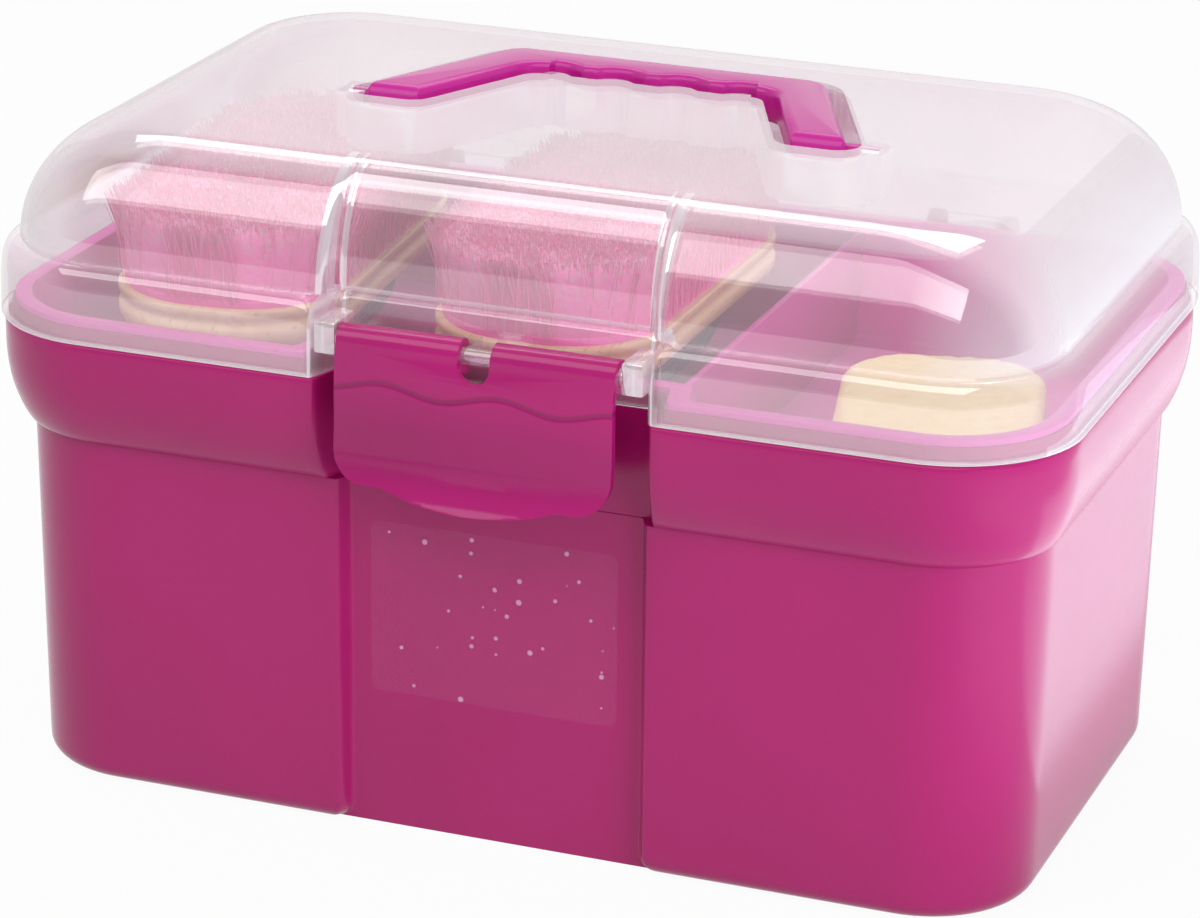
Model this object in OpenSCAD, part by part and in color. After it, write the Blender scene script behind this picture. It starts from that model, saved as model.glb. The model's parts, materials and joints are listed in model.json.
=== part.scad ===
// Horse grooming box: a bucket-like tub, a clear hinged lid with a folding carry handle and a
// front clasp, a lift-out tray, two strapped brushes and a sponge. Millimetres, X to the right,
// Y to the back, Z up, origin under the middle of the tub. The clasp faces -Y. The pieces stand
// as photographed: lid shut, clasp down, handle folded into the lid.

/* [Box] */
// width over the lid's flange
box_w = 300; // [270:1:380]
// depth over the lid's flange
box_d = 184; // [165:1:240]
// plan radius of the flange's corners
corner_r = 36; // [30:1:50]
// height of the shoulder that the lid closes on
rim_z = 128.6; // [110:0.1:170]
// half the width of the recess down the front
recess_hw = 42; // [36:0.5:48]
// how far the recess lies behind the lid's flange
recess_d = 12; // [10:0.5:14]

/* [Tub] */
// wall of the tub
tub_t = 2.2; // [1.6:0.1:3]
// how far the rim band swells past the tub's sides
swell_x = 7.2; // [4:0.1:10]
// how far the rim band swells past the tub's front and back
swell_y = 9; // [7:0.1:12]
// draft of the wall over its height, each side
tub_draft = 1.4; // [0:0.1:5]
// depth of the recess in the lower wall
low_recess = 4.9; // [3:0.1:6]
// how much narrower the recess is in the lower wall, each side
low_narrow = 1.7; // [0:0.1:3]
// height of the rim band
band_h = 29.6; // [26:0.1:36]
// radius of the bottom edge
foot_r = 5; // [3:0.1:6]
// height of the lip that stands inside the lid's flange
lip_h = 4.4; // [3:0.1:6]
// half the width of the catch for the clasp
catch_hw = 28; // [20:0.5:34]
// top of the catch below the shoulder
catch_drop = 9; // [7:0.1:10]
// thickness of the catch
catch_t = 3.4; // [2:0.1:4]

/* [Lid] */
// wall of the lid
lid_t = 1.8; // [1.2:0.1:2.2]
// play between the lid's edge and the shoulder
lid_gap = 0.4; // [0.3:0.1:1]
// height of the flange band
flange_h = 21.2; // [19:0.2:30]
// step from the flange in to the dome
flange_step = 5.5; // [4:0.1:7]
// height of the dome above the flange
dome_h = 31.8; // [30:0.2:45]
// how far the front leans back up to the crease
front_lean = 20; // [15:0.5:25]
// how far the sides round over
side_round = 30; // [20:1:40]
// how far the back rounds over
back_round = 17; // [10:1:25]
// depth of the recess at the foot of the dome
dome_recess = 6.4; // [4:0.1:8]

/* [Hinge] */
// distance of each hinge from the middle
hinge_x = 75; // [60:1:90]
// hinge line behind the flange
hinge_back = 5.6; // [5.2:0.1:8]
// hinge line above the shoulder
hinge_up = 2.4; // [1.8:0.1:3]
// radius of the hinge pin
hinge_pin_r = 2; // [1.5:0.1:2.2]
// length of the lid's knuckle
knuckle_len = 16; // [10:1:24]
// thickness of an ear of the tub
ear_t = 4; // [3:0.1:6]
// play between a knuckle and an ear
ear_gap = 0.6; // [0.4:0.1:1.5]
// radial play of a pin in its bore
play = 0.06; // [0.02:0.01:0.1]

/* [Handle] */
// half the width over the ends of the legs
handle_end = 69.5; // [62:0.5:78]
// half the width over the grip
handle_grip = 46; // [40:0.5:52]
// width of a leg
leg_w = 14.5; // [11:0.5:17]
// front end of the legs
handle_front = -6.6; // [-12:0.1:0]
// back edge of the grip
handle_back = 47.5; // [42:0.5:52]
// width of the grip
grip_w = 14; // [11:0.5:17]
// thickness of the handle
handle_t = 10; // [8:0.5:12]
// how far the handle stands above the lid
handle_proud = 2; // [1:0.1:3]
// radius of a leg's round end
leg_round = 8.6; // [7:0.1:9]
// plan radius of the handle's bends
bend_r = 9; // [6:0.5:10]
// pitch of the finger hollows
finger_pitch = 18.4; // [15:0.1:20]
// depth of the finger hollows
finger_depth = 2.6; // [1:0.1:4]
// radius of the finger hollows
finger_r = 11; // [9:0.5:14]
// radius of the handle's pivot pins
pivot_r = 2.5; // [1.8:0.1:3]
// length of a pivot pin outside its leg
pivot_len = 6; // [4.5:0.1:8]
// play of the handle in its trench
trench_gap = 4.2; // [4:0.1:5]
// play under the round ends of the legs
trench_under = 0.4; // [0.3:0.1:2]

/* [Clasp] */
// space beside the clasp in the recess
clasp_side = 3.8; // [3:0.1:6]
// thickness of the clasp's plate
clasp_t = 2.4; // [1.8:0.1:3]
// height of the rod above the shoulder
rod_up = 11.9; // [11:0.1:14]
// rod in front of the recessed wall
rod_out = 10; // [9:0.1:12]
// radius of the rod
rod_r = 2.25; // [1.8:0.05:2.6]
// outside radius of the clasp's rolled top
roll_r = 4.5; // [4:0.1:5.5]
// half the width of the notch in the clasp's top
notch_hw = 4.4; // [4:0.1:6]
// height of the clasp from its lower corners to the rod
clasp_h = 36; // [32:0.5:40]
// radius of the clasp's lower corners
clasp_r = 9; // [5:0.5:14]
// how far the finger tongue hangs below the lower corners
tongue = 4; // [2:0.1:6]
// half the width of the finger tongue
tongue_hw = 24; // [18:0.5:27]
// radius of the finger hollow
scoop_r = 16; // [12:0.5:20]
// height of the clasp's rib
rib_h = 3.9; // [2.5:0.1:5]
// play between the clasp's rib and the catch
rib_gap = 0.3; // [0.2:0.1:1]

/* [Tray] */
// wall of the tray
tray_t = 1.8; // [1.2:0.1:2.4]
// depth of the tray below the tub's lip
tray_h = 35; // [32:1:60]
// how far the tray's walls lean in
tray_lean = 5.5; // [3:0.1:7]
// thickness of the divider
divider_t = 2; // [1.5:0.1:3]
// space between the right brush and the divider
divider_gap = 12.9; // [8:0.1:16]

/* [Brushes] */
// space left of the left brush
brush_side = 11.2; // [8:0.1:16]
// space between the brushes
brush_space = 29.5; // [24:0.1:34]
// space before and behind the right brush
brush_ends = 3.2; // [2:0.1:12]
// how far forward the brushes lie in the tray
brush_fwd = 4; // [0:0.1:5]
// turn of the left brush in the tray
brush_turn = 5; // [0:1:6]
// width of a brush
brush_w = 64; // [60:0.5:66]
// plan radius of a brush's corners
brush_r = 28; // [22:0.5:29]
// thickness of the wooden back
back_t = 12; // [10:0.5:16]
// how far the back's lower edge is rounded
wood_round = 6; // [3:0.5:8]
// depth of the finger groove along the back
groove_d = 1.2; // [0.6:0.1:2]
// height of the hand strap's bow
strap_h = 25; // [18:0.5:28]
// thickness of the hand strap
strap_t = 2; // [1:0.1:3]
// width of the hand strap
strap_w = 48; // [35:1:60]
// thickness of the bed that holds the bristles
bed_t = 2; // [1.5:0.1:3]
// edge of wood round the bristle bed
bed_edge = 2; // [1:0.1:4]
// pitch of the bristles
bristle_pitch = 5.6; // [5.2:0.1:8]
// thickness of a bristle bunch
bristle_w = 1.8; // [1:0.1:2.4]
// length of the bristles
bristle_h = 21; // [14:0.5:23]

/* [Sponge] */
// depth of the sponge
sponge_d = 76; // [60:1:80]
// height of the sponge
sponge_h = 27; // [22:1:40]
// radius of the sponge's edges
sponge_r = 7; // [4:0.5:10]
// space right of the sponge
sponge_side = 3; // [2:0.1:8]
// space between the divider and the sponge
sponge_left = 31.8; // [26:0.1:38]
// space before the sponge
sponge_front = 4.2; // [3:0.1:14]
// turn of the sponge in the tray
sponge_turn = 14; // [6:1:16]

/* [Hidden] */
$fn = 48;
seg = 7;
hx0 = box_w / 2;
hy0 = box_d / 2;
floor_y = hy0 - recess_d;
lip_in = 3;
lip_t = 2.1;
lip_z = rim_z + lip_h;
band_z = rim_z - band_h;
tub_hx = hx0 - swell_x;
tub_hy = hy0 - swell_y;
tub_r = corner_r - 6;
lid_z = rim_z + lid_gap;
dome_z = lid_z + flange_h;
top_z = dome_z + dome_h;
front_r = (dome_h * dome_h + front_lean * front_lean) / (2 * front_lean);
hinge_y = hy0 + hinge_back;
hinge_z = rim_z + hinge_up;
ear_r = hinge_pin_r + 2.4;
knuckle_r = hinge_pin_r + 2;
pin_reach = knuckle_len / 2 + ear_gap + ear_t;
pivot_y = handle_front + leg_round;
pivot_drop = 0.6 * handle_t - handle_proud;
pivot_z = top_z - pivot_drop;
trench_h = pivot_drop + leg_round + trench_under;
clasp_hw = recess_hw - clasp_side;
rod_y = -floor_y - rod_out;
rod_z = rim_z + rod_up;
rib_y = rod_y + 0.2;
catch_y = rib_y + rib_gap;
catch_z = rim_z - catch_drop;
tray_z = lip_z - tray_h;
tray_floor = tray_z + 2;
tray_top_in = lip_in + lip_t + 1.4;
tray_low_in = tray_top_in + tray_lean;
tray_in = tray_low_in + tray_t;
brush_a_x = tray_in - hx0 + brush_side + brush_w / 2;
brush_a_y = -brush_fwd;
brush_b_x = brush_a_x + brush_w + brush_space;
brush_b_y = recess_d / 2 - brush_fwd;
brush_l = box_d - recess_d - 2 * tray_in - 2 * brush_ends;
divider_x = brush_b_x + brush_w / 2 + divider_gap + divider_t / 2;
back_z = tray_floor + strap_h;
tuft_z = back_z + back_t;
sponge_w = hx0 - tray_in - sponge_side - sponge_left - divider_x - divider_t / 2;
sponge_x = hx0 - tray_in - sponge_side - sponge_w / 2;
sponge_y = tray_in - hy0 + sponge_front + sponge_d / 2;

// Outlines at one height: a rounded rectangle with a rounded step in its front edge.
function arc(cx, cy, r, a) = [for (i = [0:seg]) let (b = a + 90 * i / seg)
    [cx + r * cos(b), cy + r * sin(b)]];
function sway(x0, x1, y0, y1) = [for (i = [0:5]) let (b = (1 - cos(36 * i)) / 2)
    [x0 + (x1 - x0) * i / 5, y0 + (y1 - y0) * b]];
function ring(z, hx, yf, yb, r, nd, nw, ns) = [for (p = concat(
    arc(r - hx, r - yf, r, 180),
    sway(-nw - ns, -nw, -yf, nd - yf),
    sway(nw, nw + ns, nd - yf, -yf),
    arc(hx - r, r - yf, r, 270),
    arc(hx - r, yb - r, r, 0),
    arc(r - hx, yb - r, r, 90))) [p[0], p[1], z]];
// The flange's outline moved inward by d.
function rim(z, d) = ring(z, hx0 - d, hy0 - d, hy0 - d, corner_r - d, recess_d, recess_hw + d, 5);
// The tub's wall moved inward by d with its recess deepened by e, and its rim band at a share s
// of its full swell.
function wall(z, d, e) = let (k = tub_draft * (1 - z / band_z), w = z < band_z ? low_narrow : 0)
    ring(z, tub_hx - k - d, tub_hy - k - d, tub_hy - k - d, tub_r - d, low_recess + e,
        recess_hw - w + d, 4 - 0.3 * w);
function band(h, s) = let (y = tub_hy + s * (hy0 - 1 - tub_hy))
    ring(band_z + h * band_h / 29.6, tub_hx + s * (hx0 - 1 - tub_hx), y, y,
        tub_r + s * (corner_r - 1 - tub_r), y - tub_hy + low_recess, recess_hw, 4 + s);
// The dome at a share t of its height, its wall moved inward by d.
function dome(t, d) = let (h = dome_h - d, c = 1 - cos(asin(min(1, t))),
        yf = hy0 - flange_step - d - front_r * (1 - cos(asin(t * dome_h / front_r))))
    ring(dome_z + t * h, hx0 - flange_step - d - side_round * c, yf,
        hy0 - flange_step - d - back_round * c, corner_r - flange_step - d - 8 * t * t,
        dome_recess * (1 - t * t), recess_hw + d, 5);
// A convex ring inside another one, which closes the end of a shell.
function lidded(z, hx, hy, nw) = ring(z, hx, hy, hy, 12, 0, nw, 2);

// A shell whose rings run from its inner or lower end to its other end.
module skin(rings) {
    n = len(rings[0]);
    m = len(rings);
    polyhedron(
        points = [for (s = rings) each s],
        faces = concat(
            [[for (j = [0:n - 1]) j]],
            [for (i = [0:m - 2], j = [0:n - 1])
                [i * n + j, (i + 1) * n + j, (i + 1) * n + (j + 1) % n]],
            [for (i = [0:m - 2], j = [0:n - 1])
                [i * n + j, (i + 1) * n + (j + 1) % n, i * n + (j + 1) % n]],
            [[for (j = [n - 1:-1:0]) (m - 1) * n + j]]));
}

module along_x(x0, x1)
    translate([x0, 0, 0]) rotate([90, 0, 90]) linear_extrude(x1 - x0) children();
module along_y(y0, y1)
    translate([0, y1, 0]) rotate([90, 0, 0]) linear_extrude(y1 - y0) children();
module slab(x0, x1, y0, y1, z0, z1) translate([x0, y0, z0]) cube([x1 - x0, y1 - y0, z1 - z0]);
module both_sides() {
    children();
    mirror([1, 0, 0]) children();
}

module tub_ears() {
    for (x = [hinge_x - pin_reach, hinge_x + pin_reach - ear_t])
        along_x(x, x + ear_t) {
            translate([hinge_y, hinge_z]) circle(ear_r);
            polygon([[hy0 - 2.4, rim_z - 16], [hy0 + 1.5, rim_z - 12],
                [hinge_y + ear_r - 0.2, hinge_z - 1.2], [hinge_y, hinge_z], [hy0 + 1, hinge_z],
                [hy0 + 1, rim_z - 0.3], [hy0 - 2.4, rim_z - 0.3]]);
        }
}

// The catch that the clasp's rib snaps under, with two gussets.
module tub_catch() {
    wall_y = low_recess - tub_hy + 0.7;
    slab(-catch_hw, catch_hw, catch_y, wall_y, catch_z - catch_t, catch_z);
    both_sides() along_x(catch_hw - 10.4, catch_hw - 8)
        polygon([[wall_y, catch_z - catch_t - 11.6], [wall_y, catch_z - 1], [catch_y + 1.5, catch_z - 1],
            [catch_y + 1.5, catch_z - catch_t]]);
}

module tub() color([0.66, 0.09, 0.44]) difference() {
    floor_z = tub_t + 0.2;
    union() {
        skin(concat(
            [lidded(0, tub_hx - 15, tub_hy - 17, recess_hw + 2)],
            [for (a = [90:-22.5:0])
                wall(foot_r * (1 - sin(a)), foot_r * (1 - cos(a)), low_recess * (cos(a) - 1))],
            [wall(band_z - 0.3, 0, 0)],
            [for (p = [[0, 0.14], [1, 0.25], [3.4, 0.43], [7, 0.64], [11.2, 0.82], [16.5, 0.95], [22, 1],
                [29, 1], [29.6, 0.94]]) band(p[0], p[1])],
            [rim(rim_z, lip_in), rim(lip_z - 0.5, lip_in), rim(lip_z, lip_in + 0.5),
                rim(lip_z, lip_in + lip_t - 0.5), rim(lip_z - 0.5, lip_in + lip_t),
                rim(band_z + 13, lip_in + lip_t)],
            [wall(band_z + 6.5, -0.4, tub_t + 0.4), wall(band_z + 1.5, tub_t - 0.4, 0.4),
                wall(band_z - 2, tub_t, 0)],
            [for (a = [0:30:90]) wall(floor_z + 4 * (1 - sin(a)), tub_t + 4 * (1 - cos(a)), 0)],
            [lidded(floor_z, tub_hx - 17, tub_hy - 19, recess_hw + 6)]));
        both_sides() tub_ears();
        tub_catch();
    }
    both_sides() along_x(hinge_x - pin_reach - 2, hinge_x + pin_reach + 2)
        translate([hinge_y, hinge_z]) circle(hinge_pin_r + play);
}

// Plan of the handle grown by g: legs that spread from a straight grip with finger hollows.
function unit(v) = v / norm(v);
function meet(a, b) = let (q = a[0][0] * b[0][1] - a[0][1] * b[0][0])
    [(a[1] * b[0][1] - b[1] * a[0][1]) / q, (a[0][0] * b[1] - b[0][0] * a[1]) / q];
function grown(l, g) = [l[0], l[1] + g];
leg_n = unit([handle_back - handle_front, handle_end - handle_grip]);
leg_c = leg_n * [handle_end, handle_front];
handle_lines = [
    [[0, -1], -handle_front],
    [leg_n, leg_c],
    [[0, 1], handle_back],
    [[-leg_n[0], leg_n[1]], leg_c],
    [[0, -1], -handle_front],
    [[leg_n[0], -leg_n[1]], leg_w - leg_c],
    [[0, -1], grip_w - handle_back],
    [[-leg_n[0], -leg_n[1]], leg_w - leg_c]];
tip_r = 2.5;
handle_bends = [tip_r, bend_r, bend_r, tip_r, tip_r, -bend_r, -bend_r, tip_r];
function bend(a, b, r, g) = let (c = meet(grown(a, -r), grown(b, -r)),
        a0 = atan2(a[0][1], a[0][0]), w = atan2(b[0][1], b[0][0]) - a0,
        turn = w > 180 ? w - 360 : w < -180 ? w + 360 : w)
    [for (i = [0:6]) c + (r + g) * [cos(a0 + turn * i / 6), sin(a0 + turn * i / 6)]];
module handle_plan(g) difference() {
    polygon([for (i = [0:7])
        each bend(handle_lines[i], handle_lines[(i + 1) % 8], handle_bends[i], g)]);
    for (i = [-1.5:1:1.5])
        translate([i * finger_pitch, handle_back - grip_w - finger_r + finger_depth]) circle(finger_r - g);
}

module lid() color([0.93, 0.93, 0.95, 0.45]) difference() {
    union() {
        skin(concat(
            [lidded(top_z - lid_t, hx0 - 50, hy0 - 40, recess_hw)],
            [for (t = [1, 0.97, 0.91, 0.83, 0.73, 0.62, 0.48, 0.33, 0.17, 0]) dome(t, lid_t)],
            [rim(dome_z - 1.8, flange_step - 0.6), rim(dome_z - 3.2, lid_t + 1), rim(dome_z - 9.2, lid_t),
                rim(lid_z, lid_t)],
            [rim(lid_z, 0.5), rim(lid_z + 0.5, 0), rim(dome_z - 12.2, 0), rim(dome_z - 6.2, 0.5),
                rim(dome_z - 2.6, 1.5), rim(dome_z - 0.8, 3)],
            [for (t = [0, 0.17, 0.33, 0.48, 0.62, 0.73, 0.83, 0.91, 0.97, 1]) dome(t, 0)],
            [lidded(top_z, hx0 - 50, hy0 - 40, recess_hw)]));
        // the trench's walls, and the blocks that carry the handle's pins
        translate([0, 0, top_z - trench_h - lid_t]) linear_extrude(trench_h + lid_t - 0.9)
            handle_plan(trench_gap + lid_t);
        both_sides() slab(handle_end - 1, handle_end + pivot_len + 2.5, pivot_y - pivot_r - 3,
            pivot_y + pivot_r + 3, top_z - trench_h - lid_t, top_z - 0.9);
        // the clasp's rod with its two brackets and the tab in the middle
        both_sides() slab(clasp_hw + 1, recess_hw + 3.2, rod_y - rod_r - 0.45, -floor_y + 1,
            rod_z - rod_r - 1.75, rod_z + rod_r + 2.35);
        along_x(-recess_hw - 2, recess_hw + 2) translate([rod_y, rod_z]) circle(rod_r);
        slab(1 - notch_hw, notch_hw - 1, rod_y + 0.4, -floor_y + 1,
            rod_z - rod_r + 0.15, rod_z + rod_r - 0.15);
        // the knuckles at the back
        both_sides() {
            along_x(hinge_x - knuckle_len / 2, hinge_x + knuckle_len / 2) {
                translate([hinge_y, hinge_z]) circle(knuckle_r);
                polygon([[hy0 - 1, lid_z + 0.8], [hinge_y, hinge_z - 1.6],
                    [hinge_y, hinge_z + knuckle_r - 0.6], [hy0 - 1, hinge_z + knuckle_r + 1.5]]);
            }
            along_x(hinge_x - pin_reach + 0.2, hinge_x + pin_reach - 0.2)
                translate([hinge_y, hinge_z]) circle(hinge_pin_r);
        }
    }
    translate([0, 0, top_z - trench_h]) linear_extrude(trench_h + 5) handle_plan(trench_gap);
    both_sides() along_x(handle_end - 8, handle_end + pivot_len + 0.6)
        translate([pivot_y, pivot_z]) circle(pivot_r + play);
}

module handle() color([0.66, 0.09, 0.44]) {
    z0 = top_z + handle_proud - handle_t;
    intersection() {
        translate([0, 0, z0]) linear_extrude(handle_t) handle_plan(0);
        union() {
            slab(-hx0, hx0, pivot_y, hy0, z0 - 1, z0 + handle_t + 1);
            along_x(-hx0, hx0) translate([pivot_y, pivot_z]) circle(leg_round);
        }
    }
    both_sides() along_x(handle_end - 10, handle_end + pivot_len)
        translate([pivot_y, pivot_z]) circle(pivot_r);
}

// Side profile of the clasp's plate, from its rolled top to the flared lower edge.
clasp_bow = [[0, 0], [-4.5, -0.8], [-10, -1.1], [-16, -1], [-22, -1], [-28, -1.6], [-33, -2.8],
    [-37, -4.5], [-40, -6.2]];
bow_k = (clasp_h + tongue) / 40;
function bow(i, t) = [rod_y - roll_r + t + clasp_bow[i][1] * bow_k, rod_z + clasp_bow[i][0] * bow_k];
module clasp_face() {
    z1 = rod_z - clasp_h;
    tongue_r = (tongue * tongue + tongue_hw * tongue_hw) / (2 * tongue);
    translate([-clasp_hw, z1 + clasp_r]) square([2 * clasp_hw, clasp_h + roll_r - clasp_r]);
    translate([clasp_r - clasp_hw, z1]) square([2 * (clasp_hw - clasp_r), clasp_r + 1]);
    for (x = [clasp_r - clasp_hw, clasp_hw - clasp_r]) translate([x, z1 + clasp_r]) circle(clasp_r);
    intersection() {
        translate([0, z1 - tongue + tongue_r]) circle(tongue_r);
        translate([-tongue_hw, z1 - tongue - 1]) square([2 * tongue_hw, tongue + 4]);
    }
}
module clasp_notch() {
    translate([0, rod_z - 0.36 * roll_r]) circle(notch_hw);
    translate([-notch_hw, rod_z - 0.36 * roll_r]) square([2 * notch_hw, 3 * roll_r]);
}
module clasp() color([0.66, 0.09, 0.44]) difference() {
    n = len(clasp_bow) - 1;
    rib_z = catch_z - catch_t - 1.2;
    union() {
        intersection() {
            along_x(-clasp_hw, clasp_hw)
                polygon(concat([for (i = [0:n]) bow(i, 0)], [for (i = [n:-1:0]) bow(i, clasp_t)]));
            along_y(rod_y - clasp_h, rod_y + 2 * roll_r) clasp_face();
        }
        along_x(-clasp_hw, clasp_hw) translate([rod_y, rod_z]) circle(roll_r);
        slab(2 - catch_hw, catch_hw - 2, rod_y - roll_r - 0.4, rib_y, rib_z - rib_h, rib_z);
    }
    along_x(-clasp_hw - 1, clasp_hw + 1) translate([rod_y, rod_z]) circle(rod_r + play);
    slab(-clasp_hw - 1, clasp_hw + 1, rod_y, rod_y + 8, rod_z - rod_r + 0.55, rod_z + rod_r - 0.55);
    along_y(rod_y - clasp_h, rod_y + 2 * roll_r) clasp_notch();
    // the finger hollow above the tongue
    translate([0, rod_y - roll_r - scoop_r - 2.1 * bow_k, rod_z - clasp_h + 6.2 * bow_k])
        scale([3.4, 1, 1]) sphere(scoop_r);
}

module tray() color([0.72, 0.16, 0.5]) {
    skin(concat(
        [lidded(tray_z, hx0 - 32, hy0 - 40, recess_hw + 18)],
        [rim(tray_z, tray_low_in + 3), rim(tray_z + 0.9, tray_low_in + 1), rim(tray_z + 3, tray_low_in),
            rim(lip_z - 1.4, tray_top_in + 0.2), rim(lip_z, tray_top_in), rim(lip_z, lip_in + 0.7),
            rim(lip_z + 1.2, lip_in + 0.7), rim(lip_z + 1.6, lip_in + 1.1),
            rim(lip_z + 1.6, tray_top_in + tray_t - 0.5), rim(lip_z + 1, tray_top_in + tray_t + 0.1),
            rim(tray_floor + 2, tray_in), rim(tray_floor + 0.4, tray_in + 1.2),
            rim(tray_floor, tray_in + 2.4)],
        [lidded(tray_floor, hx0 - 34, hy0 - 42, recess_hw + 18)]));
    along_x(divider_x - divider_t / 2, divider_x + divider_t / 2)
        polygon([[tray_low_in + 1.2 - floor_y, tray_floor - 1], [hy0 - tray_low_in - 1.2, tray_floor - 1],
            [hy0 - tray_top_in - 1.2, lip_z - 2], [tray_top_in + 1.2 - floor_y, lip_z - 2]]);
}

// A brush's outline moved inward by d, and a test for points that lie inside it by m.
function brush_ring(z, d) = let (x = brush_w / 2 - d, y = brush_l / 2 - d, r = brush_r - d)
    [for (p = concat(arc(r - x, r - y, r, 180), arc(x - r, r - y, r, 270), arc(x - r, y - r, r, 0),
        arc(r - x, y - r, r, 90))) [p[0], p[1], z]];
function in_brush(p, m) = norm([max(0, abs(p[0]) - brush_w / 2 + brush_r),
    max(0, abs(p[1]) - brush_l / 2 + brush_r)]) < brush_r - m;

// A wooden back with a rounded lower edge and a groove along its side for the fingers.
module brush_back() color([0.86, 0.68, 0.44]) translate([0, 0, back_z]) skin(concat(
    [for (a = [90:-30:0]) brush_ring(0.4 * back_t * (1 - sin(a)), wood_round * (1 - cos(a)))],
    [for (p = [[0.5, 0], [0.58, 0.7], [0.67, 1], [0.76, 0.7], [0.84, 0]])
        brush_ring(p[0] * back_t, p[1] * groove_d)],
    [brush_ring(back_t - 0.8, 0), brush_ring(back_t, 0.6)]));
// Webbing bowed under the back, which the brush lies on.
module brush_strap() color([0.55, 0.1, 0.36]) {
    half = brush_w / 2 - wood_round - 1.5;
    r = (strap_h * strap_h + half * half) / (2 * strap_h);
    along_y(-strap_w / 2, strap_w / 2) intersection() {
        translate([0, tray_floor + r]) difference() {
            circle(r);
            circle(r - strap_t);
        }
        translate([-r - 1, tray_floor]) square([2 * r + 2, strap_h]);
    }
}
// A thin bed with rows of bristle bunches of three lengths.
module brush_bristles() color([0.93, 0.62, 0.74]) translate([0, 0, tuft_z]) {
    nx = floor(brush_w / bristle_pitch / 2);
    ny = floor(brush_l / bristle_pitch / 2);
    linear_extrude(bed_t) polygon([for (p = brush_ring(0, bed_edge)) [p[0], p[1]]]);
    for (k = [0:2])
        translate([0, 0, bed_t / 2]) linear_extrude(bristle_h + bed_t / 2 - k * 0.8)
            for (i = [-nx:nx], j = [-ny:ny])
                if ((i + 2 * j + 300) % 3 == k && in_brush([i, j] * bristle_pitch, bed_edge + bristle_w))
                    translate([i * bristle_pitch, j * bristle_pitch])
                        rotate(30 * k) square(bristle_w, center = true);
}
module left_brush() translate([brush_a_x, brush_a_y, 0]) rotate(brush_turn) children();
module right_brush() translate([brush_b_x, brush_b_y, 0]) children();
module brush_a_back() left_brush() brush_back();
module brush_a_strap() left_brush() brush_strap();
module brush_a_bristles() left_brush() brush_bristles();
module brush_b_back() right_brush() brush_back();
module brush_b_strap() right_brush() brush_strap();
module brush_b_bristles() right_brush() brush_bristles();

// The sponge's outline moved inward by d, and a smaller one that closes its top and bottom.
function sponge_ring(z, d) = let (x = sponge_w / 2, y = sponge_d / 2)
    ring(z, x - d, y - d, y - d, 0.8 * x - d, 0, x / 16, x / 16);
function sponge_end(z) = let (x = sponge_w / 2, y = sponge_d / 2)
    ring(z, 0.58 * x, y - 0.42 * x, y - 0.42 * x, 0.44 * x, 0, x / 20, x / 20);
module sponge() color([0.95, 0.82, 0.5])
    translate([sponge_x, sponge_y, tray_floor]) rotate(sponge_turn) skin(concat(
        [sponge_end(0)],
        [for (a = [90:-30:0]) sponge_ring(sponge_r * (1 - sin(a)), sponge_r * (1 - cos(a)))],
        [for (a = [0:30:90]) sponge_ring(sponge_h - sponge_r * (1 - sin(a)), sponge_r * (1 - cos(a)))],
        [sponge_end(sponge_h)]));

tub();
lid();
handle();
clasp();
tray();
brush_a_back();
brush_a_strap();
brush_a_bristles();
brush_b_back();
brush_b_strap();
brush_b_bristles();
sponge();
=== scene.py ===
import json
import math

import bmesh
import bpy
import numpy as np
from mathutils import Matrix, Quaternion, Vector

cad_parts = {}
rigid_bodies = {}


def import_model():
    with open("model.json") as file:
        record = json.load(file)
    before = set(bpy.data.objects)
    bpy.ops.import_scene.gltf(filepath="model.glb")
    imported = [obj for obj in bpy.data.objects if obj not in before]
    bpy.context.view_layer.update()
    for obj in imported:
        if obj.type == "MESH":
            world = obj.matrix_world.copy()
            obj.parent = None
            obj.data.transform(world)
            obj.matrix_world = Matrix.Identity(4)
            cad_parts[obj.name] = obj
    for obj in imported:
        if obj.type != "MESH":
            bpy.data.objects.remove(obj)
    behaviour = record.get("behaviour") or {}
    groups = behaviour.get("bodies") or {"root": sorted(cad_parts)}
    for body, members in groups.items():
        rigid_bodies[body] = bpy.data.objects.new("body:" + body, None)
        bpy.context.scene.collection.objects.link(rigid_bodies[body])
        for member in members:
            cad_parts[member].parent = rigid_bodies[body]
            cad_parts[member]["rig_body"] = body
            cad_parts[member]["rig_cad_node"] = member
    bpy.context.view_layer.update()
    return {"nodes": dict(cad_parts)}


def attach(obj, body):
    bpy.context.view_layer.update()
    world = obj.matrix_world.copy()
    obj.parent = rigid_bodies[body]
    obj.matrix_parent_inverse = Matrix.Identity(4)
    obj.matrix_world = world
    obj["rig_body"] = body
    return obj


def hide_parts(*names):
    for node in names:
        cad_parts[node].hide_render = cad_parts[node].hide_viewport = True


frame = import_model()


# Tub: the bucket that carries everything, injection moulded in one piece from glossy magenta
# polypropylene. A shallow recess runs down its front, a band swells out under the lid, and a lip
# inside the band locates the lid and holds the tray. Sizes are in millimetres.
MM = 0.001
BOX_X, BOX_Y, CORNER = 150.0, 92.0, 36.0
RIM_Z, LIP_Z, BAND_Z = 128.6, 133.0, 99.0
TUB_X, TUB_Y, TUB_R = 142.8, 83.0, 30.0
RECESS, LOW_RECESS, RIM_RECESS = 42.0, 4.9, 12.0
RIM_STEP, TUB_STEP = 5.0, 4.0
DRAFT, WALL_T, FLOOR_T = 1.4, 2.2, 2.4
FOOT_R, FLOOR_R = 5.0, 4.0
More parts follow.
